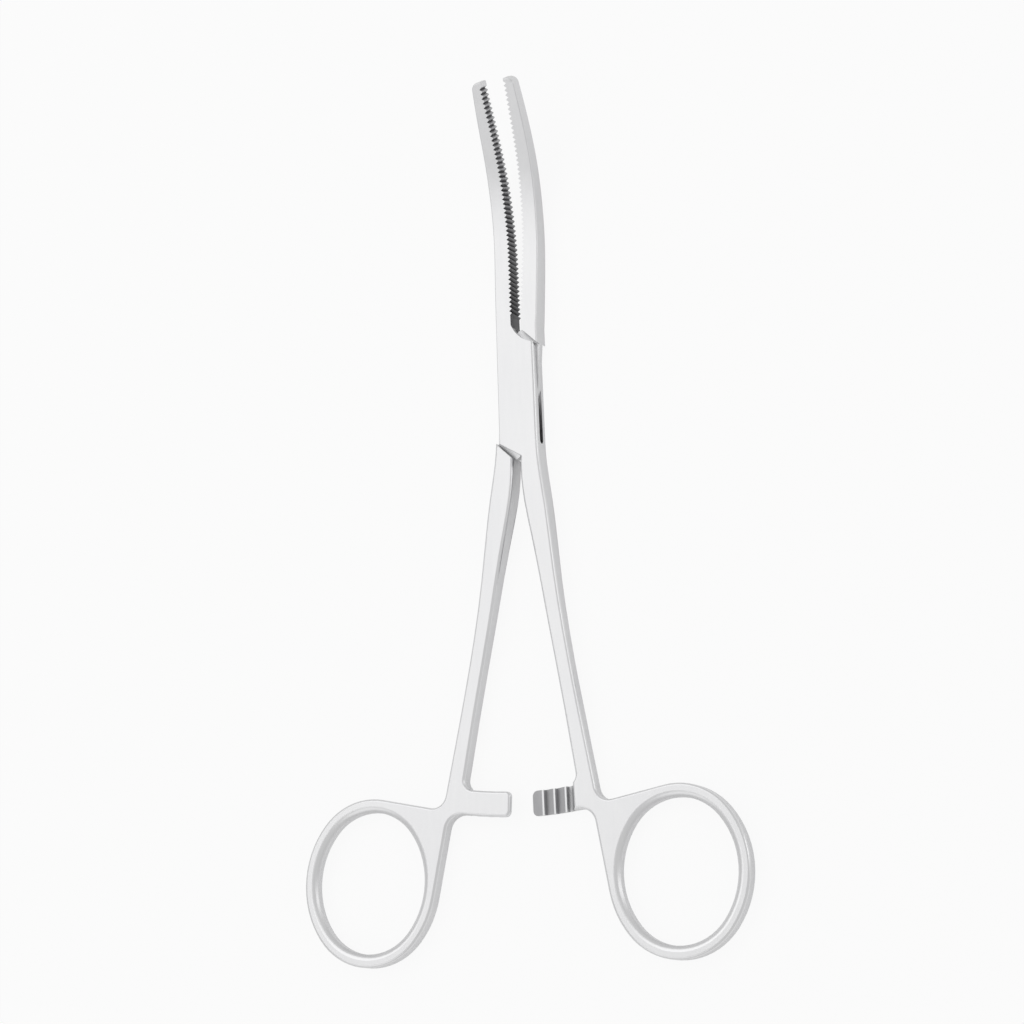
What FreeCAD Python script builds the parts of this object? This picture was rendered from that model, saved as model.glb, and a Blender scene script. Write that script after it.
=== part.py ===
import FreeCAD, Part
import math
import os

# Curved artery forceps with a screwless box lock, 160 mm long, all of stainless steel.
# The frame stands on the turning axis of the lock, at the underside of the box:
# +Y runs to the tips, +X to the right seen from above, +Z up. Lengths are in millimetres.
# Both halves are drawn closed and alike about the Y axis, then turned apart to the open rest.
# Drawn closed, a half has its jaw on the left and its shank, ring and ratchet on the right.

# Opening at rest, and how near the closed tips come
TIP_GAP_REST = 4.6
CLOSED_TIP_CLEARANCE = 0.06
TIP_REACH = 57.4

# Box lock: two cheeks with a slot between them, and the tongue that turns in the slot
BOX_THICK = 4.0
BOX_HALF_WIDTH = 3.80
BOX_FLAT_MARGIN = 0.5
SLOT_HEIGHT = 1.40
TONGUE_THICK = 1.30
SHOULDER_REACH = 12.45
SHOULDER_SLOPE = 40.0
CHEEK_GAP = 0.16
CHEEK_ARC_SAG = 0.75
CHEEK_REAR_SLOPE = 33.0
SLOT_END_GAP = 0.35
SLOT_END_ROUND = 0.6
TONGUE_SIDE_END = 1.0
TONGUE_HEEL_X = 0.9
PIN_RADIUS = 1.55
PIN_RUNNING_CLEARANCE = 0.04

# Jaws
JAW_ROOT_GAP = 0.45
JAW_ROOT_WIDTH = 3.55
JAW_MID_WIDTH = 3.15
JAW_MID_Y = 34.0
JAW_TIP_WIDTH = 2.15
JAW_TIP_TAPER = 0.11
JAW_TIP_ROUND = 1.4
JAW_BEND_START = 24.5
JAW_BEND_RADIUS = 50.0
JAW_BEND_ANGLE = 28.0
JAW_TIP_THICK = 2.8
JAW_EDGE_ROUND = 0.25

# Serration of the gripping faces
TOOTH_PITCH = 0.87
TOOTH_DEPTH = 0.48
TOOTH_LAND = 0.12
TOOTH_FIRST_Y = 15.6
TOOTH_END_MARGIN = 0.8
THROAT_RELIEF = 0.30
THROAT_CORNER = 0.5

# Shanks: the two long edges as they lie with the jaws closed
CROTCH_X = 0.22
SHANK_INNER = [(0.30, -17.5), (1.69, -27.2), (3.85, -42.0), (6.08, -56.6), (7.75, -68.5)]
SHANK_OUTER = [(4.75, -19.8), (6.05, -34.6), (7.85, -49.3), (9.55, -60.2), (10.95, -68.5)]
SHANK_THICK = 2.8
SHANK_THIN_Y = -50.0

# Finger rings
RING_X = 26.4
RING_Y = -88.9
RING_HOLE_HALF_WIDTH = 10.9
RING_HOLE_HALF_LENGTH = 12.75
RING_SIDE_WALL = 2.35
RING_END_WALL = 2.4
RING_HOLE_BEVEL = 0.65
OVAL_FULLNESS = 0.4
PALM_TOP_ANGLE = 99.0
PALM_SIDE_ANGLE = 189.0
PALM_TOP_BLEND = 2.6
PALM_SIDE_BLEND = 3.0

# Ratchet arms, struck about the turning axis
ARM_ABOVE_RING = 16.3
ARM_WIDTH = 4.5
ARM_INNER_RADIUS = -RING_Y - ARM_ABOVE_RING
ARM_OUTER_RADIUS = ARM_INNER_RADIUS + ARM_WIDTH
ARM_PAST_AXIS = 1.2
ARM_ROOT_X = 7.4
ARM_BLEND = 1.8
ARM_NOSE_ROUND = 1.0
ARM_CREST_CLEARANCE = 0.06
RATCHET_PITCH = 2.2
RATCHET_DEPTH = 0.65
RATCHET_FIRST = 2.4
RATCHET_LAND = 0.35
RATCHET_STEEP = 0.15
RATCHET_COUNT = 3
RATCHET_SWEEP = 1.5

# Worked out from the sizes above
MID_Z = BOX_THICK / 2
OPEN_ANGLE = math.degrees(math.atan(TIP_GAP_REST / TIP_REACH))
RING_OUTER_HALF_WIDTH = RING_HOLE_HALF_WIDTH + RING_SIDE_WALL
RING_OUTER_HALF_LENGTH = RING_HOLE_HALF_LENGTH + RING_END_WALL
UP = FreeCAD.Vector(0, 0, 1)

# Room that blanks and cutters take beyond the finished shape
FLOOR_Z = -5.0
TALL = 40.0
CUT_MARGIN = 0.3
NEAR = 0.01


def at(x, y, z=0.0):
    return FreeCAD.Vector(x, y, z)


def line(start, end):
    return Part.LineSegment(start, end).toShape()


def arc(start, middle, end):
    return Part.Arc(start, middle, end).toShape()


def spline(points, start_tangent=None, end_tangent=None):
    curve = Part.BSplineCurve()
    if start_tangent is None:
        curve.interpolate(points)
    else:
        curve.interpolate(Points=points, InitialTangent=start_tangent, FinalTangent=end_tangent)
    return curve.toShape()


def raise_outline(edges, depth=TALL, direction=UP):
    wire = Part.Wire(Part.__sortEdges__(edges))
    return Part.Face(wire).extrude(direction * depth)


def raise_polygon(points, depth=TALL, direction=UP):
    wire = Part.makePolygon(points + [points[0]])
    return Part.Face(wire).extrude(direction * depth)


def mirrored(shape):
    return shape.mirror(at(0, 0), at(1, 0))


def turned(shape, angle):
    copy = shape.copy()
    copy.rotate(at(0, 0), UP, angle)
    return copy


def shoulder_y(x, reach=SHOULDER_REACH):
    """Place in y of a wall that slants as the shoulders of the lock do, x from the middle."""
    return reach - math.tan(math.radians(SHOULDER_SLOPE)) * x


def crest_x(y):
    """Distance of the tooth crests from the middle plane with the tips closed."""
    share = (TIP_REACH - y) / (TIP_REACH - SHOULDER_REACH)
    return (CLOSED_TIP_CLEARANCE + (JAW_ROOT_GAP - CLOSED_TIP_CLEARANCE) * share) / 2


def oval_radii(half_width, half_length):
    """Radii of the end and side arcs of a four-arc oval, and the angle where they meet."""
    end = OVAL_FULLNESS * half_width + (1 - OVAL_FULLNESS) * half_width ** 2 / half_length
    side = (half_width ** 2 + half_length ** 2 - 2 * half_length * end) / (2 * (half_width - end))
    return end, side, math.degrees(math.atan2(half_length - end, side - half_width))


def oval_point(half_width, half_length, angle):
    """Point of an oval about the ring's middle, where its normal has this angle from +X."""
    end, side, meet = oval_radii(half_width, half_length)
    turn = math.radians(angle)
    normal = at(math.cos(turn), math.sin(turn))
    if abs(normal.y) > math.sin(math.radians(meet)):
        centre, radius = at(0, math.copysign(half_length - end, normal.y)), end
    else:
        centre, radius = at(math.copysign(side - half_width, -normal.x), 0), side
    return at(RING_X, RING_Y) + centre + normal * radius


def outer_oval_point(angle):
    """Point of the ring's outer edge, and the direction of the edge there."""
    turn = math.radians(angle)
    place = oval_point(RING_OUTER_HALF_WIDTH, RING_OUTER_HALF_LENGTH, angle)
    return place, at(-math.sin(turn), math.cos(turn))


def jaw_station(run):
    """Place, slope and half thickness of the jaw at a run measured along its middle line."""
    bend_length = JAW_BEND_RADIUS * math.radians(JAW_BEND_ANGLE)
    past = run - JAW_BEND_START
    slope = min(max(past, 0.0) / JAW_BEND_RADIUS, math.radians(JAW_BEND_ANGLE))
    y = min(run, JAW_BEND_START) + JAW_BEND_RADIUS * math.sin(slope)
    z = JAW_BEND_RADIUS * (1 - math.cos(slope))
    if past > bend_length:
        y += (past - bend_length) * math.cos(slope)
        z += (past - bend_length) * math.sin(slope)
    share = (run - SHOULDER_REACH) / (jaw_run() - SHOULDER_REACH)
    half = (BOX_THICK + (JAW_TIP_THICK - BOX_THICK) * share) / 2
    return y, z + MID_Z, slope, half


def jaw_run():
    """Length of the jaw's middle line from the pin to the tip."""
    bend = math.radians(JAW_BEND_ANGLE)
    straight = (TIP_REACH - JAW_BEND_START - JAW_BEND_RADIUS * math.sin(bend)) / math.cos(bend)
    return JAW_BEND_START + JAW_BEND_RADIUS * bend + straight


def side_profile():
    """Outline seen from the side: flat box, thinner shanks and rings, jaws bent upwards."""
    end_y = RING_Y - RING_OUTER_HALF_LENGTH - 1
    half = SHANK_THICK / 2
    box_end = SHOULDER_REACH + BOX_FLAT_MARGIN
    edges = []
    stations = 9
    for side in (1, -1):
        rear = at(0, end_y, MID_Z + side * half)
        thin = at(0, SHANK_THIN_Y, MID_Z + side * half)
        box_rear = at(0, -box_end, MID_Z + side * BOX_THICK / 2)
        box_front = at(0, SHOULDER_REACH, MID_Z + side * BOX_THICK / 2)
        edges.append(line(rear, thin))
        edges.append(spline([thin, box_rear], at(0, 1), at(0, 1)))
        edges.append(line(box_rear, box_front))
        jaw = [box_front]
        for index in range(1, stations + 1):
            run = SHOULDER_REACH + (jaw_run() - SHOULDER_REACH) * index / stations
            y, z, slope, thick = jaw_station(run)
            jaw.append(at(0, y - side * thick * math.sin(slope), z + side * thick * math.cos(slope)))
        slope = jaw_station(jaw_run())[2]
        edges.append(spline(jaw, at(0, 1), at(0, math.cos(slope), math.sin(slope))))
        if side == 1:
            tip = jaw[-1]
            end = rear
    edges.append(line(tip, jaw[-1]))
    edges.append(line(end, rear))
    width = 2 * (RING_X + RING_OUTER_HALF_WIDTH)
    solid = raise_outline(edges, 2 * width, at(1, 0))
    solid.translate(at(-width, 0))
    return solid


def throat_x():
    """Distance of the plain throat wall from the middle plane."""
    return crest_x(TOOTH_FIRST_Y) + THROAT_RELIEF


def jaw_outer_edge():
    """Back of the left jaw, from beyond the tip down to the box."""
    beyond = TIP_REACH + JAW_TIP_THICK
    full_width_y = TIP_REACH - 2 * JAW_TIP_ROUND
    points = [at(-JAW_TIP_WIDTH + JAW_TIP_TAPER * (beyond - full_width_y), beyond)]
    points.append(at(-JAW_TIP_WIDTH, full_width_y))
    points.append(at(-JAW_MID_WIDTH, JAW_MID_Y))
    points.append(at(-JAW_ROOT_WIDTH, SHOULDER_REACH))
    return points, spline(points, at(-JAW_TIP_TAPER, -1), at(0, -1))


def jaw_inner_edges(foot):
    """Gripping face and plain throat of the left jaw, from beyond the tip down to a foot point."""
    beyond = TIP_REACH + JAW_TIP_THICK
    tip = at(-crest_x(beyond), beyond)
    last_tooth = at(-crest_x(TOOTH_FIRST_Y), TOOTH_FIRST_Y - TOOTH_PITCH / 2)
    relief = at(-throat_x(), last_tooth.y - THROAT_RELIEF)
    return tip, [line(tip, last_tooth), line(last_tooth, relief), line(relief, foot)]


def crossing(start, along, other, other_along):
    """Point where two lines in the plan cross."""
    spread = along.x * other_along.y - along.y * other_along.x
    reach = other - start
    share = (reach.x * other_along.y - reach.y * other_along.x) / spread
    return start + along * share


def shank_edges(inner_start, outer_start):
    """Right shank and the palm that carries the ring, from its inner to its outer start."""
    inner = [inner_start] + [at(x, y) for x, y in SHANK_INNER]
    outer = [outer_start] + [at(x, y) for x, y in SHANK_OUTER]
    inner_along = (inner[-1] - inner[-2]).normalize()
    outer_along = (outer[-1] - outer[-2]).normalize()
    top, top_along = outer_oval_point(PALM_TOP_ANGLE)
    side, side_along = outer_oval_point(PALM_SIDE_ANGLE)
    arm_middle = at(0, -(ARM_INNER_RADIUS + ARM_OUTER_RADIUS) / 2)
    inner_foot = crossing(inner[-1], inner_along, arm_middle, at(1, 0))
    side_head = crossing(side, side_along, arm_middle, at(1, 0))
    shoulder = crossing(outer[-1], outer_along, top, top_along)
    centre = at(RING_X, RING_Y)
    edges = [spline(inner, at(0, -1), inner_along)]
    edges.append(line(inner[-1], inner_foot))
    edges.append(line(inner_foot, side_head))
    edges.append(line(side_head, side))
    edges.append(line(side, centre))
    edges.append(line(centre, top))
    edges.append(line(top, shoulder))
    edges.append(line(shoulder, outer[-1]))
    edges.append(spline(outer, at(0, -1), outer_along))
    return edges, inner_foot, side_head, shoulder


def oval_edges(half_width, half_length):
    """The four arcs of an oval in the plan about the middle of the ring."""
    meet = oval_radii(half_width, half_length)[2]
    turns = [-meet, 0, meet, 90, 180 - meet, 180, 180 + meet, 270, 360 - meet]
    places = [oval_point(half_width, half_length, turn) + at(0, 0, FLOOR_Z) for turn in turns]
    return [arc(*places[first:first + 3]) for first in (0, 2, 4, 6)]


def hole_edges():
    return oval_edges(RING_HOLE_HALF_WIDTH, RING_HOLE_HALF_LENGTH)


def arm_sector(inner, outer, nose_x, root_x, floor=FLOOR_Z, depth=TALL):
    """Block between two radii about the turning axis, from the nose to the root."""
    corners = []
    for radius, x in ((inner, nose_x), (inner, root_x), (outer, root_x), (outer, nose_x)):
        corners.append(at(x, -math.sqrt(radius ** 2 - x ** 2), floor))
    middle_x = (nose_x + root_x) / 2
    inner_middle = at(middle_x, -math.sqrt(inner ** 2 - middle_x ** 2), floor)
    outer_middle = at(middle_x, -math.sqrt(outer ** 2 - middle_x ** 2), floor)
    edges = [arc(corners[0], inner_middle, corners[1]), line(corners[1], corners[2])]
    edges.append(arc(corners[2], outer_middle, corners[3]))
    edges.append(line(corners[3], corners[0]))
    return raise_outline(edges, depth)


def upright_edge(solid, place):
    """Upright edge of a solid that stands nearest to a place in the plan."""
    best = None
    for edge in solid.Edges:
        ends = edge.Vertexes
        if len(ends) != 2 or edge.Length < TALL / 2:
            continue
        foot = at(ends[0].X, ends[0].Y)
        head = at(ends[1].X, ends[1].Y)
        if foot.distanceToPoint(head) > 0.01:
            continue
        gap = foot.distanceToPoint(at(place.x, place.y))
        if best is None or gap < best[0]:
            best = (gap, edge)
    return best[1]


def blended(solid, place, radius):
    return solid.makeFillet(radius, [upright_edge(solid, place)])


def add_palm(body, inner_foot, side_head, shoulder):
    """Join the ring and the ratchet arm to a shank, with blended corners, and open the ring."""
    ring = raise_outline(oval_edges(RING_OUTER_HALF_WIDTH, RING_OUTER_HALF_LENGTH))
    root_x = (side_head.x + shoulder.x) / 2
    arm = arm_sector(ARM_INNER_RADIUS, ARM_OUTER_RADIUS, -ARM_PAST_AXIS, root_x)
    solid = body.fuse([ring, arm]).removeSplitter()
    solid = blended(solid, shoulder, PALM_TOP_BLEND)
    solid = blended(solid, at(inner_foot.x, -ARM_INNER_RADIUS), ARM_BLEND)
    solid = blended(solid, at(side_head.x, -ARM_OUTER_RADIUS), PALM_SIDE_BLEND)
    for radius in (ARM_INNER_RADIUS, ARM_OUTER_RADIUS):
        solid = blended(solid, at(-ARM_PAST_AXIS, -radius), ARM_NOSE_ROUND)
    return solid.cut(raise_outline(hole_edges()))


def steepest(face, axis):
    """Largest share of the face's normal along an axis, over nine spots of the face."""
    low_u, high_u, low_v, high_v = face.ParameterRange
    shares = []
    for across in (0.2, 0.5, 0.8):
        for along in (0.2, 0.5, 0.8):
            normal = face.normalAt(low_u + (high_u - low_u) * across, low_v + (high_v - low_v) * along)
            shares.append(abs(getattr(normal, axis)))
    return max(shares)


def shared_edges(faces, others):
    """Edges that belong to a face of each group."""
    rivals = [edge for other in others for edge in other.Edges]
    own = [edge for face in faces for edge in face.Edges]
    return [edge for edge in own if any(edge.isSame(rival) for rival in rivals)]


def upright_line(place):
    """Upright line through a place in the plan, to find the wall that stands there."""
    return line(at(place.x, place.y, FLOOR_Z), at(place.x, place.y, FLOOR_Z + TALL))


def standing_on(walls, edges):
    """Walls that stand over the middle of one of these edges of the plan."""
    probes = []
    for edge in edges:
        middle = edge.valueAt((edge.FirstParameter + edge.LastParameter) / 2)
        probes.append(upright_line(middle))
    upright = [wall for wall in walls if steepest(wall, "z") < NEAR ** 3]
    return [wall for wall in upright if any(wall.distToShape(probe)[0] < NEAR for probe in probes)]


def without(faces, others):
    return [face for face in faces if not any(face.isSame(other) for other in others)]


def round_tip(half):
    """Round the outer corner of the tip, between its end face and the back of the jaw."""
    walls = [face for face in half.Faces if steepest(face, "z") < NEAR ** 3]
    middle = Part.Vertex(at(-JAW_TIP_WIDTH / 2, TIP_REACH, jaw_station(jaw_run())[1]))
    end = [face for face in half.Faces if face.distToShape(middle)[0] < NEAR]
    corners = shared_edges(walls, end)
    back = min(corners, key=lambda edge: edge.CenterOfMass.x)
    return half.makeFillet(JAW_TIP_ROUND, [back]).Solids[0]


def walls_and_flats(half):
    """Faces that stand or round a corner, and the faces of the upper and lower sides."""
    sides = [face for face in half.Faces if steepest(face, "x") < NEAR ** 3]
    flats = [face for face in sides if steepest(face, "z") > 0.6]
    return without(half.Faces, sides), flats


def round_jaw(half, back_edge):
    """Round the upper and lower edges along the back of the jaw and round the tip's corner."""
    walls, flats = walls_and_flats(half)
    corner = [wall for wall in walls if steepest(wall, "z") > NEAR ** 3]
    soft = standing_on(walls, [back_edge]) + corner
    return half.makeFillet(JAW_EDGE_ROUND, shared_edges(soft, flats)).Solids[0]


def bevel_ring_hole(half):
    """Bevel both rims of the finger hole."""
    walls, flats = walls_and_flats(half)
    hole = standing_on(walls, hole_edges())
    return half.makeChamfer(RING_HOLE_BEVEL, shared_edges(hole, flats)).Solids[0]


def serrate(jaw, offset):
    """Cut the cross teeth into the gripping face, square to the bent middle line."""
    lip = TOOTH_LAND / 4
    reach = (TOOTH_PITCH - TOOTH_LAND) / 2 * (1 + lip / TOOTH_DEPTH)
    grooves = []
    run = TOOTH_FIRST_Y + offset
    while run < jaw_run() - TOOTH_END_MARGIN:
        y, z, slope, half = jaw_station(run)
        along = at(0, math.cos(slope), math.sin(slope)) * reach
        normal = at(0, -math.sin(slope), math.cos(slope))
        foot = at(-crest_x(y), y, z) - normal * (half + CUT_MARGIN)
        corners = [foot + at(lip, 0) + along, foot + at(lip, 0) - along, foot - at(TOOTH_DEPTH, 0)]
        grooves.append(raise_polygon(corners, 2 * (half + CUT_MARGIN), normal))
        run += TOOTH_PITCH
    return jaw.cut(grooves)


def ratchet_clearing():
    """What is cleared off the right arm: its upper half, and the gaps of its upward teeth."""
    crest_z = MID_Z - ARM_CREST_CLEARANCE / 2
    floor_z = crest_z - RATCHET_DEPTH
    top_z = MID_Z + SHANK_THICK / 2
    nose = -ARM_PAST_AXIS
    front = nose - CUT_MARGIN
    outline = [at(front, 0, top_z + CUT_MARGIN), at(front, 0, floor_z)]
    for index in range(RATCHET_COUNT):
        crest = nose + RATCHET_FIRST + index * RATCHET_PITCH
        outline.append(at(crest - RATCHET_LAND, 0, crest_z))
        outline.append(at(crest, 0, crest_z))
        outline.append(at(crest + RATCHET_STEEP, 0, floor_z))
    foot = at(ARM_ROOT_X - RATCHET_SWEEP, 0, floor_z)
    head = at(ARM_ROOT_X, 0, top_z)
    outline.append(foot)
    edges = [line(start, end) for start, end in zip(outline, outline[1:])]
    edges.append(spline([foot, head], at(1, 0), at(0, 0, 1)))
    edges.append(line(head, head + at(0, 0, CUT_MARGIN)))
    edges.append(line(head + at(0, 0, CUT_MARGIN), outline[0]))
    start_y = -ARM_INNER_RADIUS + ARM_BLEND
    for edge in edges:
        edge.translate(at(0, start_y))
    depth = start_y + ARM_OUTER_RADIUS + CUT_MARGIN
    return raise_outline(edges, depth, at(0, -1))


def pin_hole(radius):
    return Part.makeCylinder(radius, BOX_THICK + 2 * CUT_MARGIN, at(0, 0, -CUT_MARGIN))


def slot():
    """Slot through the box, open at both sides, with slanting rounded ends."""
    reach = SHOULDER_REACH + SLOT_END_GAP / math.cos(math.radians(SHOULDER_SLOPE))
    far = BOX_HALF_WIDTH + JAW_ROOT_GAP
    near = throat_x() / 2
    floor = MID_Z - SLOT_HEIGHT / 2
    half = [at(-far, shoulder_y(far, reach), floor), at(-near, shoulder_y(near, reach), floor)]
    half.append(at(far, shoulder_y(near, reach), floor))
    outline = half + [at(-place.x, -place.y, floor) for place in half]
    solid = raise_polygon(outline, SLOT_HEIGHT)
    ends = standing_on(solid.Faces, [line(half[0], half[1]), line(outline[3], outline[4])])
    flats = [face for face in solid.Faces if steepest(face, "z") > 0.6]
    return solid.makeFillet(SLOT_END_ROUND, shared_edges(without(ends, flats), flats))


def female_half():
    """Half with the slotted box: left jaw, right shank and ring, ratchet teeth facing up."""
    side_y = shoulder_y(BOX_HALF_WIDTH) - CHEEK_GAP
    throat = at(-throat_x(), SHOULDER_REACH + THROAT_CORNER)
    front_corner = at(BOX_HALF_WIDTH, side_y)
    rear_corner = at(-BOX_HALF_WIDTH, -side_y)
    crotch_y = -side_y - math.tan(math.radians(CHEEK_REAR_SLOPE)) * (BOX_HALF_WIDTH + CROTCH_X)
    crotch = at(CROTCH_X, crotch_y)
    shank_start = at(BOX_HALF_WIDTH, -shoulder_y(BOX_HALF_WIDTH))
    across = (front_corner - throat).normalize()
    sag = at(across.y, -across.x) * CHEEK_ARC_SAG
    back, back_edge = jaw_outer_edge()
    tip, grip_edges = jaw_inner_edges(throat)
    shank, inner_foot, side_head, shoulder = shank_edges(crotch, shank_start)
    edges = grip_edges + shank + [back_edge, line(tip, back[0])]
    edges.append(arc(throat, (throat + front_corner) * 0.5 + sag, front_corner))
    edges.append(line(front_corner, shank_start))
    edges.append(line(crotch, rear_corner))
    edges.append(line(rear_corner, back[-1]))
    for edge in edges:
        edge.translate(at(0, 0, FLOOR_Z))
    blank = add_palm(raise_outline(edges), inner_foot, side_head, shoulder)
    half = round_tip(blank.common(side_profile()).Solids[0])
    half = bevel_ring_hole(round_jaw(half, back_edge))
    half = half.cut([slot(), pin_hole(PIN_RADIUS), ratchet_clearing()])
    return serrate(half, 0.0)


def male_jaw():
    """Jaw of the tongued half, down to its slanting shoulder, drawn on the left."""
    inner_foot = at(-throat_x(), shoulder_y(throat_x()))
    outer_foot = at(-BOX_HALF_WIDTH, shoulder_y(BOX_HALF_WIDTH))
    back, back_edge = jaw_outer_edge()
    tip, grip_edges = jaw_inner_edges(inner_foot)
    edges = grip_edges + [back_edge, line(tip, back[0]), line(outer_foot, back[-1])]
    edges.append(line(inner_foot, outer_foot))
    for edge in edges:
        edge.translate(at(0, 0, FLOOR_Z))
    jaw = round_tip(raise_outline(edges).common(side_profile()).Solids[0])
    return serrate(round_jaw(jaw, back_edge), TOOTH_PITCH / 2)


def male_shank():
    """Shank, ring and ratchet arm of the tongued half, drawn on the right, teeth facing down."""
    inner = at(CROTCH_X, -shoulder_y(CROTCH_X))
    outer = at(BOX_HALF_WIDTH, -shoulder_y(BOX_HALF_WIDTH))
    edges, inner_foot, side_head, shoulder = shank_edges(inner, outer)
    edges.append(line(inner, outer))
    for edge in edges:
        edge.translate(at(0, 0, FLOOR_Z))
    blank = add_palm(raise_outline(edges), inner_foot, side_head, shoulder)
    shank = bevel_ring_hole(blank.common(side_profile()).Solids[0])
    return shank.cut(ratchet_clearing().mirror(at(0, 0, MID_Z), UP))


def tongue():
    """Flat tongue that joins jaw and shank through the slot of the other half."""
    floor = MID_Z - TONGUE_THICK / 2
    half = [at(TONGUE_HEEL_X, shoulder_y(TONGUE_HEEL_X + CROTCH_X), floor)]
    half.append(at(-CROTCH_X, shoulder_y(CROTCH_X), floor))
    half.append(at(-BOX_HALF_WIDTH, shoulder_y(BOX_HALF_WIDTH), floor))
    half.append(at(-BOX_HALF_WIDTH, TONGUE_SIDE_END, floor))
    outline = half + [at(-place.x, -place.y, floor) for place in half]
    return raise_polygon(outline, TONGUE_THICK)


def male_half():
    """Half with the tongue: right jaw, left shank and ring, ratchet teeth facing down."""
    solid = male_jaw().fuse([male_shank(), tongue()]).removeSplitter()
    return mirrored(solid.cut(pin_hole(PIN_RADIUS + PIN_RUNNING_CLEARANCE)))


def lock_pin():
    return Part.makeCylinder(PIN_RADIUS, BOX_THICK)


def main():
    os.makedirs("parts", exist_ok=True)
    pieces = {
        "female_half": turned(female_half(), OPEN_ANGLE / 2),
        "male_half": turned(male_half(), -OPEN_ANGLE / 2),
        "lock_pin": lock_pin(),
    }
    for name, shape in pieces.items():
        solid = shape.Solids[0]
        print(name, "solids", len(shape.Solids), "valid", solid.isValid(), "volume", round(solid.Volume, 1))
        solid.exportStep("parts/" + name + ".step")


main()
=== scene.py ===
import logging
import math
from dataclasses import dataclass, field
from enum import Enum, IntEnum

import bmesh
import bpy
from mathutils import Euler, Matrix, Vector


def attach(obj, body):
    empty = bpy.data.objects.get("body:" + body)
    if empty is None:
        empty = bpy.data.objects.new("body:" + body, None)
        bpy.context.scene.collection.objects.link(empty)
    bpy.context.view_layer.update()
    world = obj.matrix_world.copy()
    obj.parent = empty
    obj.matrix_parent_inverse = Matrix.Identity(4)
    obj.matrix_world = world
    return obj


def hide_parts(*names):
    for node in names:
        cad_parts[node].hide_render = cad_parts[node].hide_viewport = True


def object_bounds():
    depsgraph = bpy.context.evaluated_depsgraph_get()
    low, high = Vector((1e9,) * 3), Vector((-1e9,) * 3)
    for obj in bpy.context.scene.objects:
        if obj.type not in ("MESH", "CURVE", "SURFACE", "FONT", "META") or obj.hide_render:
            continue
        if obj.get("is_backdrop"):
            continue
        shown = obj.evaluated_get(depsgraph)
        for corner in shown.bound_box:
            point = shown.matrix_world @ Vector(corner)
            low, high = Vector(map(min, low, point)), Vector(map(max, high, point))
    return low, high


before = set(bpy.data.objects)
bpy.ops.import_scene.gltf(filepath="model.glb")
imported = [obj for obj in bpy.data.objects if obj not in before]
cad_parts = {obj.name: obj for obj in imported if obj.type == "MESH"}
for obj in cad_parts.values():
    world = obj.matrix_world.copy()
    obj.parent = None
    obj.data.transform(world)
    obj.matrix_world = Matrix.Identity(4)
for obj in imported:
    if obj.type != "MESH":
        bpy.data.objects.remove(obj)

LOG = logging.getLogger("hemostat_forceps")
MM = 0.001
BOX_FRONT = 12.4 * MM
MIX_SHARE, MIX_FIRST, MIX_SECOND = 0, 6, 7
MIX_COLOUR = 2
Feed = bpy.types.NodeSocket | float | tuple[float, ...]


class Zone(Enum):
    """Stretches of a forged half, from the jaw's tip to the ring."""

    JAW = "jaw"
    BOX = "box"
    SHANK = "shank"
    ARM = "arm"
    RING = "ring"


class Skin(IntEnum):
    """Material slots of a forged half."""

    FORGED = 0
    RIM = 1
    TOOTH = 2
    SLOPE = 3


def new_material(name: str) -> tuple[bpy.types.Material, bpy.types.ShaderNodeTree]:
    """Make an empty node material.

    Args:
        name: Name of the material.

    Returns:
        The material and its node tree without any node.
    """
    material = bpy.data.materials.new(name)
    material.use_nodes = True
    tree = material.node_tree
    tree.nodes.clear()
    return material, tree


@dataclass
class NodeCanvas:
    """Shorthand for placing and joining shader nodes in one tree."""

    tree: bpy.types.ShaderNodeTree

    def add(self, kind: str, **settings: object) -> bpy.types.ShaderNode:
        """Place a node and set its plain properties.

        Args:
            kind: Blender's name of the node type.
            settings: Properties of the node and their values.

        Returns:
            The new node.
        """
        node = self.tree.nodes.new(kind)
        for key, value in settings.items():
            setattr(node, key, value)
        return node

    def join(self, source: bpy.types.NodeSocket, target: bpy.types.NodeSocket) -> None:
        """Link an output to an input."""
        self.tree.links.new(source, target)

    def noise(self, place: bpy.types.NodeSocket, scale: float,
              detail: float) -> bpy.types.NodeSocket:
        """Place a noise pattern and give its value output.

        Args:
            place: Output that carries the position to read.
            scale: Number of blotches in a metre.
            detail: Octaves of the noise.

        Returns:
            The output with the pattern's value.
        """
        node = self.add("ShaderNodeTexNoise")
        node.inputs["Scale"].default_value = scale
        node.inputs["Detail"].default_value = detail
        self.join(place, node.inputs["Vector"])
        return node.outputs["Fac"]

    def remap(self, value: bpy.types.NodeSocket, low: float, high: float,
              start: float, end: float) -> bpy.types.NodeSocket:
        """Stretch a value from one range to another, held at its ends.

        Args:
            value: Output to stretch.
            low: Value that gives start.
            high: Value that gives end.
            start: Result at low.
            end: Result at high.

        Returns:
            The output with the stretched value.
        """
        node = self.add("ShaderNodeMapRange")
        for label, number in (("From Min", low), ("From Max", high),
                              ("To Min", start), ("To Max", end)):
            node.inputs[label].default_value = number
        self.join(value, node.inputs["Value"])
        return node.outputs["Result"]

    def mix(self, share: Feed, first: Feed, second: Feed,
            kind: str = "MIX") -> bpy.types.NodeSocket:
        """Mix two colours, each a linked output or a plain value.

        Args:
            share: Share of the second colour.
            first: Colour at share 0.
            second: Colour at share 1.
            kind: Blender's name of the way to mix.

        Returns:
            The output with the mixed colour.
        """
        node = self.add("ShaderNodeMix", data_type="RGBA", blend_type=kind)
        for number, value in ((MIX_SHARE, share), (MIX_FIRST, first), (MIX_SECOND, second)):
            if isinstance(value, bpy.types.NodeSocket):
                self.join(value, node.inputs[number])
            else:
                node.inputs[number].default_value = value
        return node.outputs[MIX_COLOUR]


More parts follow.
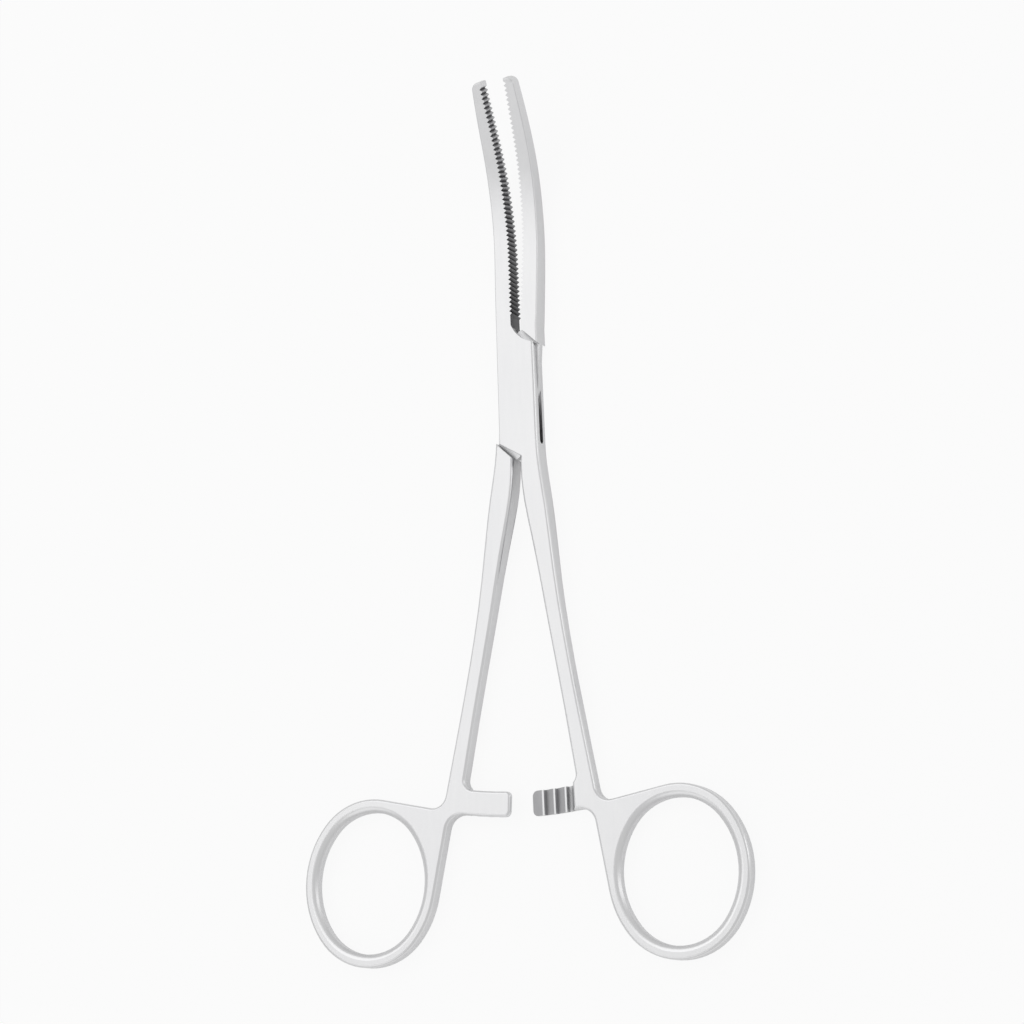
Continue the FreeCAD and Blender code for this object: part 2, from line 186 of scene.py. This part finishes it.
@dataclass(frozen=True)
class BlastedGrain:
    """Node group with the fine matt grain that bead blasting leaves on steel."""

    name: str = "blasted_grain"
    grain_per_metre: float = 5200.0
    cloud_per_metre: float = 55.0
    streak_per_metre: float = 900.0
    streak_stretch: tuple[float, float, float] = (1.0, 0.12, 1.0)
    streak_share: float = 0.4

    def group(self) -> bpy.types.ShaderNodeTree:
        """Build the group once and give it back each time.

        Returns:
            The node group, with the outputs Tone, Roughness and Height.
        """
        found = bpy.data.node_groups.get(self.name)
        if found:
            return found
        tree = bpy.data.node_groups.new(self.name, "ShaderNodeTree")
        for label, value in (("Roughness", 0.3), ("Spread", 0.05)):
            socket = tree.interface.new_socket(label, in_out="INPUT",
                                               socket_type="NodeSocketFloat")
            socket.default_value = value
        for label in ("Tone", "Roughness", "Height"):
            tree.interface.new_socket(label, in_out="OUTPUT", socket_type="NodeSocketFloat")
        canvas = NodeCanvas(tree)
        entry = canvas.add("NodeGroupInput")
        leave = canvas.add("NodeGroupOutput")
        place = canvas.add("ShaderNodeTexCoord").outputs["Object"]
        grain = canvas.noise(place, self.grain_per_metre, 2.0)
        cloud = canvas.noise(place, self.cloud_per_metre, 4.0)
        stretch = canvas.add("ShaderNodeMapping")
        stretch.inputs["Scale"].default_value = self.streak_stretch
        canvas.join(place, stretch.inputs["Vector"])
        streak = canvas.noise(stretch.outputs["Vector"], self.streak_per_metre, 3.0)
        blend = canvas.add("ShaderNodeMix", data_type="FLOAT")
        blend.inputs["Factor"].default_value = self.streak_share
        canvas.join(cloud, blend.inputs["A"])
        canvas.join(streak, blend.inputs["B"])
        tone = blend.outputs["Result"]
        canvas.join(tone, leave.inputs["Tone"])
        centred = canvas.add("ShaderNodeMath", operation="SUBTRACT")
        canvas.join(tone, centred.inputs[0])
        centred.inputs[1].default_value = 0.5
        scaled = canvas.add("ShaderNodeMath", operation="MULTIPLY_ADD")
        canvas.join(centred.outputs["Value"], scaled.inputs[0])
        canvas.join(entry.outputs["Spread"], scaled.inputs[1])
        canvas.join(entry.outputs["Roughness"], scaled.inputs[2])
        canvas.join(scaled.outputs["Value"], leave.inputs["Roughness"])
        canvas.join(grain, leave.inputs["Height"])
        return tree


@dataclass(frozen=True)
class CornerShade:
    """Node group with painted shade: a dark colour laid into grooves, gaps and inner corners,
    where ambient occlusion finds them.
    """

    name: str = "painted_corner_shade"
    reach: float = 2.0 * MM
    rays: int = 6
    full_shade_at: float = 0.46
    no_shade_at: float = 0.86

    def group(self) -> bpy.types.ShaderNodeTree:
        """Build the group once and give it back each time.

        Returns:
            The node group, with the output Shade, the share of painted corner shade.
        """
        found = bpy.data.node_groups.get(self.name)
        if found:
            return found
        tree = bpy.data.node_groups.new(self.name, "ShaderNodeTree")
        socket = tree.interface.new_socket("Strength", in_out="INPUT",
                                           socket_type="NodeSocketFloat")
        socket.default_value = 1.0
        tree.interface.new_socket("Shade", in_out="OUTPUT", socket_type="NodeSocketFloat")
        canvas = NodeCanvas(tree)
        entry = canvas.add("NodeGroupInput")
        leave = canvas.add("NodeGroupOutput")
        # Painted shade: ambient occlusion finds where shade falls, and the colour is darkened
        # there.
        open_sky = canvas.add("ShaderNodeAmbientOcclusion", samples=self.rays, only_local=True)
        open_sky.inputs["Distance"].default_value = self.reach
        hidden = canvas.remap(open_sky.outputs["AO"], self.full_shade_at, self.no_shade_at, 1.0, 0.0)
        scaled = canvas.add("ShaderNodeMath", operation="MULTIPLY")
        canvas.join(hidden, scaled.inputs[0])
        canvas.join(entry.outputs["Strength"], scaled.inputs[1])
        canvas.join(scaled.outputs["Value"], leave.inputs["Shade"])
        return tree


@dataclass(frozen=True)
class JawRootShade:
    """Painted shade: a darker tone of the tooth rows towards the box, where the jaws stay close
    together and shade falls.
    """

    start: float = 13.0 * MM
    end: float = 44.0 * MM
    # Colour factor of the painted shade at the box end.
    tone: float = 0.45

    def shade(self, canvas: NodeCanvas, colour: bpy.types.NodeSocket) -> bpy.types.NodeSocket:
        """Paint shade into a colour, darker towards the box.

        Args:
            canvas: Canvas of the material.
            colour: Colour to darken.

        Returns:
            The darkened colour.
        """
        place = canvas.add("ShaderNodeTexCoord")
        parts = canvas.add("ShaderNodeSeparateXYZ")
        canvas.join(place.outputs["Object"], parts.inputs["Vector"])
        # Painted shade: factor rising from tone at the box to 1 further along the jaw.
        tone = canvas.remap(parts.outputs["Y"], self.start, self.end, self.tone, 1.0)
        return canvas.mix(1.0, colour, tone, "MULTIPLY")


@dataclass(frozen=True)
class SteelFinish:
    """A stainless steel finish: its tint, its gloss, the strength of its grain, and its painted
    shade in corners and, on tooth rows, towards the box.
    """

    name: str
    bright: tuple[float, float, float]
    dull: tuple[float, float, float]
    roughness: float
    spread: float
    bump: float
    # Strength of the painted shade in corners and gaps.
    corner_shade: float
    grain: BlastedGrain = field(default_factory=BlastedGrain)
    # Group that paints shade into corners and gaps.
    corners: CornerShade = field(default_factory=CornerShade)
    # Dark colour of the painted corner shade.
    shade_colour: tuple[float, float, float] = (0.13, 0.13, 0.135)
    root_shade: JawRootShade | None = None
    tone_range: tuple[float, float] = (0.35, 0.65)
    grain_depth: float = 0.02 * MM

    def material(self) -> bpy.types.Material:
        """Build the material once and give it back each time.

        Returns:
            The finish as a Blender material.
        """
        found = bpy.data.materials.get(self.name)
        if found:
            return found
        material, tree = new_material(self.name)
        canvas = NodeCanvas(tree)
        group = canvas.add("ShaderNodeGroup")
        group.node_tree = self.grain.group()
        group.inputs["Roughness"].default_value = self.roughness
        group.inputs["Spread"].default_value = self.spread
        share = canvas.remap(group.outputs["Tone"], *self.tone_range, 0.0, 1.0)
        tint = canvas.mix(share, (*self.dull, 1.0), (*self.bright, 1.0))
        # Painted shade along the tooth rows, darker towards the box.
        if self.root_shade:
            tint = self.root_shade.shade(canvas, tint)
        # Painted shade: corners and gaps darken towards the shade colour.
        shade_group = canvas.add("ShaderNodeGroup")
        shade_group.node_tree = self.corners.group()
        shade_group.inputs["Strength"].default_value = self.corner_shade
        shaded_tint = canvas.mix(shade_group.outputs["Shade"], tint, (*self.shade_colour, 1.0))
        bump = canvas.add("ShaderNodeBump")
        bump.inputs["Strength"].default_value = self.bump
        bump.inputs["Distance"].default_value = self.grain_depth
        canvas.join(group.outputs["Height"], bump.inputs["Height"])
        shader = canvas.add("ShaderNodeBsdfPrincipled")
        shader.inputs["Metallic"].default_value = 1.0
        canvas.join(shaded_tint, shader.inputs["Base Color"])
        canvas.join(group.outputs["Roughness"], shader.inputs["Roughness"])
        canvas.join(bump.outputs["Normal"], shader.inputs["Normal"])
        output = canvas.add("ShaderNodeOutputMaterial")
        canvas.join(shader.outputs["BSDF"], output.inputs["Surface"])
        return material


SATIN = SteelFinish("matt_forged_steel", bright=(0.86, 0.86, 0.865), dull=(0.81, 0.81, 0.82),
                    roughness=0.36, spread=0.10, bump=0.35, corner_shade=0.9)
RIM = SteelFinish("polished_rim_steel", bright=(0.90, 0.90, 0.905), dull=(0.86, 0.86, 0.87),
                  roughness=0.30, spread=0.08, bump=0.2, corner_shade=0.6)
# Painted shade: the tooth rows get a darker steel colour than the forging, for the shade
# between the jaws.
SHADED_TEETH = SteelFinish("shaded_tooth_row_steel", bright=(0.62, 0.62, 0.63), dull=(0.50, 0.50, 0.51),
                      roughness=0.40, spread=0.10, bump=0.35, corner_shade=0.9, root_shade=JawRootShade())
# Painted shade: the ratchet slopes get a darker steel colour, for the shade on the ramps.
SHADED_RATCHET = SteelFinish("shaded_ratchet_slope_steel", bright=(0.56, 0.56, 0.57), dull=(0.47, 0.47, 0.48),
                      roughness=0.36, spread=0.10, bump=0.35, corner_shade=0.25)
PIN = SteelFinish("ground_pin_steel", bright=(0.86, 0.86, 0.865), dull=(0.81, 0.81, 0.82),
                  roughness=0.36, spread=0.10, bump=0.35, corner_shade=0.0)


def middle_of(edge: bmesh.types.BMEdge) -> Vector:
    """Give the point halfway along an edge."""
    return (edge.verts[0].co + edge.verts[1].co) / 2


@dataclass
class ForcepsHalf:
    """One forging: jaw, half of the box lock, shank, ratchet arm and finger ring.

    Lengths are metres in the frame and angles degrees. Limits on a normal's parts have no unit.
    """

    node: str
    body: str
    slot: str
    tooth_side: float
    rim_end_y: float
    finishes: tuple[SteelFinish, ...] = (SATIN, RIM, SHADED_TEETH, SHADED_RATCHET)
    box_end_y: float = BOX_FRONT
    shank_start_y: float = -16.0 * MM
    arm_start_y: float = -71.8 * MM
    arm_end_y: float = -77.9 * MM
    arm_half_width: float = 9.0 * MM
    tooth_end_y: float = 57.0 * MM
    middle_z: float = 2.0 * MM
    weld: float = 0.0002 * MM
    flat_angle: float = 0.2
    shank_angle: float = 1.6
    sharp_angle: float = 28.0
    flat_limit: float = 0.6
    wall_limit: float = 0.35
    ring_wall_limit: float = 0.85
    side_limit: float = 0.9
    tooth_facing: float = 0.08
    slope_x: tuple[float, float] = (0.2, 0.6)
    slope_y: float = 0.2
    step_x: float = 0.9
    step_z: float = 0.1
    pin_clear: float = 2.4 * MM
    rim_height: float = 0.95 * MM
    rim_radius: float = 0.46 * MM
    end_radius: float = 0.10 * MM
    rim_segments: int = 4

    def zone(self, place: Vector) -> Zone:
        """Say which stretch of the half a point belongs to.

        Args:
            place: Point in the frame, in metres.

        Returns:
            The zone of the point.
        """
        if place.y > self.box_end_y:
            return Zone.JAW
        if place.y > self.shank_start_y:
            return Zone.BOX
        if place.y > self.arm_start_y:
            return Zone.SHANK
        if place.y > self.arm_end_y and abs(place.x) < self.arm_half_width:
            return Zone.ARM
        return Zone.RING

    def merged_mesh(self) -> bmesh.types.BMesh:
        """Copy the CAD node's triangles and join them to one closed skin of flat faces.

        Returns:
            The merged mesh.
        """
        mesh = bmesh.new()
        mesh.from_mesh(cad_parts[self.node].data)
        bmesh.ops.remove_doubles(mesh, verts=mesh.verts, dist=self.weld)
        bmesh.ops.dissolve_limit(mesh, angle_limit=math.radians(self.flat_angle),
                                 use_dissolve_boundaries=False, verts=mesh.verts,
                                 edges=mesh.edges, delimit={"NORMAL"})
        walls = [edge for edge in mesh.edges
                 if all(self.zone(corner.co) is Zone.SHANK for corner in edge.verts)
                 and all(abs(face.normal.z) < self.wall_limit for face in edge.link_faces)]
        bmesh.ops.dissolve_limit(mesh, angle_limit=math.radians(self.shank_angle),
                                 use_dissolve_boundaries=False, verts=[],
                                 edges=walls, delimit={"NORMAL"})
        return mesh

    def is_rim(self, edge: bmesh.types.BMEdge) -> bool:
        """Tell an outer rim between a flat and a wall from every other edge.

        Args:
            edge: Edge of the merged mesh.

        Returns:
            True for a rim that is rounded on the real piece.
        """
        if len(edge.link_faces) != 2 or not edge.is_convex:
            return False
        wall, flat = sorted(edge.link_faces, key=lambda face: abs(face.normal.z))
        middle = middle_of(edge)
        zone = self.zone(middle)
        if zone is Zone.JAW or middle.y > self.rim_end_y or middle.xy.length < self.pin_clear:
            return False
        if abs(middle.z - self.middle_z) < self.rim_height:
            return False
        steepest = self.ring_wall_limit if zone is Zone.RING else self.wall_limit
        if abs(wall.normal.z) > steepest or abs(flat.normal.z) < self.flat_limit:
            return False
        if edge.calc_face_angle() < math.radians(self.sharp_angle):
            return False
        front_or_low = middle.y > 0.0 or middle.z < self.middle_z
        return not (self.ends_box(edge) and front_or_low)

    def ends_box(self, edge: bmesh.types.BMEdge) -> bool:
        """Tell a rim that runs across the box, where a cheek or a shoulder ends."""
        wall = min(edge.link_faces, key=lambda face: abs(face.normal.z))
        return self.zone(middle_of(edge)) is Zone.BOX and abs(wall.normal.x) < self.side_limit

    def skin(self, face: bmesh.types.BMFace) -> Skin:
        """Choose the material slot of a face.

        Args:
            face: Face of the merged mesh.

        Returns:
            The slot: tooth row, ratchet slope, step between ratchet teeth, or plain forging.
        """
        middle = face.calc_center_median()
        zone = self.zone(middle)
        across, along, upward = face.normal.x, abs(face.normal.y), abs(face.normal.z)
        facing = across * self.tooth_side > self.tooth_facing and upward < self.flat_limit
        if zone is Zone.JAW and facing and middle.y < self.tooth_end_y:
            return Skin.TOOTH
        sloping = self.slope_x[0] < abs(across) < self.slope_x[1] and along < self.slope_y
        if zone is Zone.ARM and sloping:
            return Skin.SLOPE
        if zone is Zone.ARM and abs(across) > self.step_x and upward > self.step_z:
            return Skin.RIM
        return Skin.FORGED

    def build(self) -> bpy.types.Object:
        """Make the half with its rounded rims, dress it and put it on its body.

        Returns:
            The finished piece.
        """
        mesh = self.merged_mesh()
        mesh.normal_update()
        weights = mesh.edges.layers.float.new("bevel_weight_edge")
        rims = 0
        for edge in mesh.edges:
            edge.smooth = edge.calc_face_angle(math.pi) < math.radians(self.sharp_angle)
            if self.is_rim(edge):
                radius = self.end_radius if self.ends_box(edge) else self.rim_radius
                edge[weights] = radius / self.rim_radius
                rims += 1
        for face in mesh.faces:
            face.smooth = True
            face.material_index = self.skin(face)
        data = bpy.data.meshes.new(self.node + "_forging")
        mesh.to_mesh(data)
        mesh.free()
        piece = bpy.data.objects.new(self.node + "_forging", data)
        bpy.context.scene.collection.objects.link(piece)
        for finish in self.finishes:
            data.materials.append(finish.material())
        bevel = piece.modifiers.new("rounded_rims", "BEVEL")
        bevel.limit_method = "WEIGHT"
        bevel.width = self.rim_radius
        bevel.segments = self.rim_segments
        bevel.use_clamp_overlap = False
        bevel.material = Skin.RIM
        bevel.miter_outer = "MITER_ARC"
        normals = piece.modifiers.new("even_flats", "WEIGHTED_NORMAL")
        normals.mode = "FACE_AREA"
        normals.keep_sharp = True
        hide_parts(self.node)
        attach(piece, self.body)
        LOG.info("%s: %d faces, %d rim edges rounded", piece.name, len(data.polygons), rims)
        return piece


@dataclass
class LockPin:
    """Rivet of the box lock, ground flush with the cheeks. The CAD node itself is dressed."""

    node: str
    finish: SteelFinish

    def build(self) -> bpy.types.Object:
        """Give the CAD node its finish.

        Returns:
            The dressed CAD node.
        """
        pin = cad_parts[self.node]
        for slot in pin.material_slots:
            slot.material = self.finish.material()
        LOG.info("%s: dressed", pin.name)
        return pin


@dataclass
class SoftBox:
    """A large rectangular lamp that faces the forceps. Lengths are metres."""

    name: str
    direction: tuple[float, float, float]
    width: float
    height: float
    radiance: float
    distance: float = 0.9

    def build(self, target: Vector) -> bpy.types.Object:
        """Place the lamp so that it faces the target.

        Args:
            target: Point that the lamp faces, in metres.

        Returns:
            The lamp.
        """
        lamp = bpy.data.lights.new(self.name, "AREA")
        lamp.shape = "RECTANGLE"
        lamp.size = self.width
        lamp.size_y = self.height
        lamp.energy = self.radiance * math.pi * self.width * self.height
        holder = bpy.data.objects.new(self.name, lamp)
        bpy.context.scene.collection.objects.link(holder)
        way = Vector(self.direction).normalized()
        holder.location = target + way * self.distance
        holder.rotation_euler = way.to_track_quat("Z", "Y").to_euler()
        return holder


@dataclass
class Studio:
    """Pale floor, white surroundings, soft lamps and the photograph's camera."""

    camera_place: tuple[float, float, float] = (208.441 * MM, -126.017 * MM, 449.818 * MM)
    camera_turn: tuple[float, float, float] = (11.8, 25.2, -0.25)
    lens: float = 97.89
    sensor: float = 36.0
    clip: tuple[float, float] = (0.05, 10.0)
    floor_half: float = 1.5
    floor_drop: float = 0.02 * MM
    floor_colour: float = 0.88
    floor_glow: float = 0.90
    floor_mirrored: float = 0.32
    world_light: float = 0.60
    lamps: tuple[SoftBox, ...] = (
        SoftBox("overhead_box", (-0.42, 0.32, 0.85), width=0.9, height=0.75, radiance=0.52),
        SoftBox("front_box", (-0.40, -0.62, 0.66), width=0.7, height=0.5, radiance=0.30),
        SoftBox("right_strip", (0.9, 0.25, 0.40), width=0.25, height=0.5, radiance=1.0),
    )

    def camera(self) -> bpy.types.Object:
        """Place the camera as the photograph was taken.

        Returns:
            The camera.
        """
        data = bpy.data.cameras.new("photo_camera")
        data.sensor_width = self.sensor
        data.lens = self.lens
        data.clip_start, data.clip_end = self.clip
        holder = bpy.data.objects.new("photo_camera", data)
        bpy.context.scene.collection.objects.link(holder)
        holder.location = self.camera_place
        holder.rotation_euler = Euler([math.radians(turn) for turn in self.camera_turn], "XYZ")
        bpy.context.scene.camera = holder
        return holder

    def floor(self, height: float) -> bpy.types.Object:
        """Lay the pale floor under the forceps.

        Args:
            height: Height of the floor, in metres.

        Returns:
            The floor.
        """
        mesh = bmesh.new()
        bmesh.ops.create_grid(mesh, x_segments=1, y_segments=1, size=self.floor_half)
        bmesh.ops.translate(mesh, verts=mesh.verts, vec=(0.0, 0.0, height))
        data = bpy.data.meshes.new("floor")
        mesh.to_mesh(data)
        mesh.free()
        piece = bpy.data.objects.new("floor", data)
        bpy.context.scene.collection.objects.link(piece)
        material, tree = new_material("pale_floor")
        canvas = NodeCanvas(tree)
        matt = canvas.add("ShaderNodeBsdfDiffuse")
        matt.inputs["Color"].default_value = (*[self.floor_colour] * 3, 1.0)
        glow = canvas.add("ShaderNodeEmission")
        glow.inputs["Strength"].default_value = 1.0
        path = canvas.add("ShaderNodeLightPath")
        mirrored = canvas.add("ShaderNodeMath", operation="MULTIPLY")
        mirrored.inputs[1].default_value = self.floor_mirrored
        canvas.join(path.outputs["Is Glossy Ray"], mirrored.inputs[0])
        share = canvas.add("ShaderNodeMath", operation="MULTIPLY_ADD")
        share.inputs[1].default_value = self.floor_glow
        canvas.join(path.outputs["Is Camera Ray"], share.inputs[0])
        canvas.join(mirrored.outputs["Value"], share.inputs[2])
        blend = canvas.add("ShaderNodeMixShader")
        canvas.join(share.outputs["Value"], blend.inputs["Fac"])
        canvas.join(matt.outputs["BSDF"], blend.inputs[1])
        canvas.join(glow.outputs["Emission"], blend.inputs[2])
        output = canvas.add("ShaderNodeOutputMaterial")
        canvas.join(blend.outputs["Shader"], output.inputs["Surface"])
        data.materials.append(material)
        piece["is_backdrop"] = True
        return piece

    def surroundings(self) -> bpy.types.World:
        """Make the world white to the camera and a soft grey light to everything else.

        Returns:
            The world.
        """
        world = bpy.data.worlds.new("white_room")
        world.use_nodes = True
        world.node_tree.nodes.clear()
        canvas = NodeCanvas(world.node_tree)
        soft = canvas.add("ShaderNodeBackground")
        soft.inputs["Color"].default_value = (1.0, 1.0, 1.0, 1.0)
        soft.inputs["Strength"].default_value = self.world_light
        white = canvas.add("ShaderNodeBackground")
        white.inputs["Color"].default_value = (1.0, 1.0, 1.0, 1.0)
        white.inputs["Strength"].default_value = 1.0
        path = canvas.add("ShaderNodeLightPath")
        blend = canvas.add("ShaderNodeMixShader")
        canvas.join(path.outputs["Is Camera Ray"], blend.inputs["Fac"])
        canvas.join(soft.outputs["Background"], blend.inputs[1])
        canvas.join(white.outputs["Background"], blend.inputs[2])
        output = canvas.add("ShaderNodeOutputWorld")
        canvas.join(blend.outputs["Shader"], output.inputs["Surface"])
        bpy.context.scene.world = world
        return world

    def build(self, low: Vector, high: Vector) -> None:
        """Set up everything around the forceps.

        Args:
            low: Lowest corner of the forceps' box.
            high: Highest corner of the forceps' box.
        """
        middle = (low + high) / 2
        self.camera()
        self.floor(low.z - self.floor_drop)
        self.surroundings()
        for lamp in self.lamps:
            lamp.build(middle)
        bpy.context.scene.view_settings.view_transform = "Standard"
        LOG.info("studio: camera, floor, world and %d lamps", len(self.lamps))


def corners(bounds: tuple[Vector, Vector]) -> list[list[float]]:
    """Turn a box into plain lists of numbers."""
    return [[float(number) for number in corner] for corner in bounds]


def main() -> None:
    """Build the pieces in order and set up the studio."""
    logging.basicConfig(level=logging.INFO, format="%(name)s: %(message)s")
    cad_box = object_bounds()
    ForcepsHalf("female_half", "box_side", "satin_steel",
                tooth_side=1.0, rim_end_y=BOX_FRONT).build()
    ForcepsHalf("male_half", "tongue_side", "satin_steel",
                tooth_side=-1.0, rim_end_y=0.0).build()
    LockPin("lock_pin", PIN).build()
    Studio().build(*cad_box)


if __name__ == "__main__":
    main()
